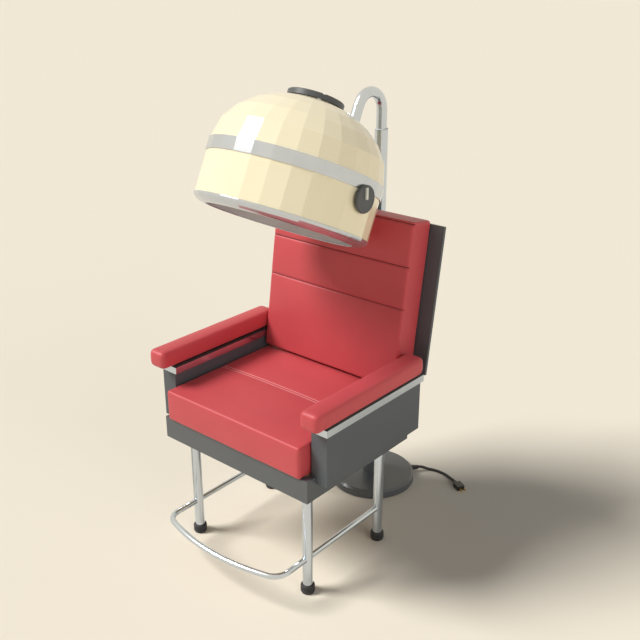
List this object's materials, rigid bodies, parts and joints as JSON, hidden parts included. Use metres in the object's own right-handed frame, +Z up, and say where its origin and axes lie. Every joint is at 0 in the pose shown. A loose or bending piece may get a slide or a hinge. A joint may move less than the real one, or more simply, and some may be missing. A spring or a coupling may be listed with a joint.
{
  "type": "hooded dryer chair",
  "caption": "Padded salon armchair on chrome legs with a foot rail, joined to a stand whose sliding neck carries a tilting hair dryer hood.",
  "frame": {"origin": "on the floor under the middle of the bounding box, the cord and plug left out", "axes": "+Z up, the chair faces -Y, +X is to the right as seen from the front"},
  "size_m": [0.6128, 0.8891, 1.2884],
  "materials": {
    "red_vinyl": "soft sheen vinyl upholstery",
    "grey_panel": "matt laminate on board",
    "grey_enamel": "satin stove enamel",
    "dark_board": "board stained dark",
    "plywood": "bare plywood",
    "chrome_steel": "bright chrome plate",
    "zinc_steel": "zinc plated steel",
    "black_rubber": "black rubber",
    "black_plastic": "matt black moulding",
    "plug_brass": "bare brass",
    "cream_shell": "gloss cream moulding",
    "bowl_aluminium": "spun aluminium",
    "motor_paint": "grey paint",
    "heater_steel": "heat stained steel and mica",
    "charcoal_plastic": "satin charcoal moulding"
  },
  "bodies": {
    "chair": {"seat_frame": "grey_enamel", "seat_deck": "plywood", "side_panel_left": "grey_panel", "side_panel_right": "grey_panel", "panel_bolts": "zinc_steel", "arm_strip_left": "chrome_steel", "arm_strip_right": "chrome_steel", "pad_board_left": "dark_board", "pad_board_right": "dark_board", "strip_screws": "zinc_steel", "arm_pad_left": "red_vinyl", "arm_pad_right": "red_vinyl", "seat_cushion": "red_vinyl", "back_cushion": "red_vinyl", "back_board": "grey_panel", "back_wedges": "grey_panel", "back_bolts": "zinc_steel", "leg_front_left": "chrome_steel", "leg_front_right": "chrome_steel", "leg_rear_left": "chrome_steel", "leg_rear_right": "chrome_steel", "leg_screws": "zinc_steel", "foot_front_left": "black_rubber", "foot_front_right": "black_rubber", "foot_rear_left": "black_rubber", "foot_rear_right": "black_rubber", "side_rail_left": "chrome_steel", "side_rail_right": "chrome_steel", "foot_rail": "chrome_steel", "tie_bracket": "grey_enamel", "tie_bolts": "zinc_steel", "stand_base": "grey_enamel", "base_pad": "black_rubber", "column": "chrome_steel", "column_bush": "black_plastic", "cord_relief": "black_rubber", "cord": "black_rubber", "plug_body": "black_plastic", "plug_blades": "plug_brass"},
    "neck": {"neck_tube": "chrome_steel", "slide_bush": "black_plastic", "neck_fork": "chrome_steel", "tilt_pin": "zinc_steel"},
    "hood": {"hood_bracket": "chrome_steel", "backing_plate": "zinc_steel", "bracket_bolts": "zinc_steel", "upper_shell": "cream_shell", "lower_shell": "cream_shell", "belt": "chrome_steel", "rim": "chrome_steel", "inner_bowl": "bowl_aluminium", "chassis_ring": "zinc_steel", "motor_spider": "zinc_steel", "motor": "motor_paint", "heater": "heater_steel", "vent_seat": "black_plastic", "timer": "black_plastic"},
    "vent": {"vent_cap": "charcoal_plastic"},
    "knob": {"control_knob": "charcoal_plastic"},
    "fan": {"fan": "bowl_aluminium"}
  },
  "joints": [
    {"name": "neck_slide", "type": "slide", "parent": "chair", "child": "neck", "axis": [0, 0, 1], "range_m": [0, 0.12]},
    {"name": "hood_tilt", "type": "hinge", "parent": "neck", "child": "hood", "pos_m": [0, 0.15771, 1.15036], "axis": [-1, 0, 0], "range_deg": [0, 40]},
    {"name": "vent_turn", "type": "hinge", "parent": "hood", "child": "vent", "pos_m": [0, 0.00804, 1.24317], "axis": [0, 0.4352, 0.9003], "range_deg": [0, 60]},
    {"name": "timer_turn", "type": "hinge", "parent": "hood", "child": "knob", "pos_m": [0.23, -0.08455, 1.05164], "axis": [-1, 0, 0], "range_deg": [0, 300]},
    {"name": "fan_spin", "type": "hinge", "parent": "hood", "child": "fan", "pos_m": [0, -0.02535, 1.17408], "axis": [0, 0.4352, 0.9003], "continuous": true}
  ]
}
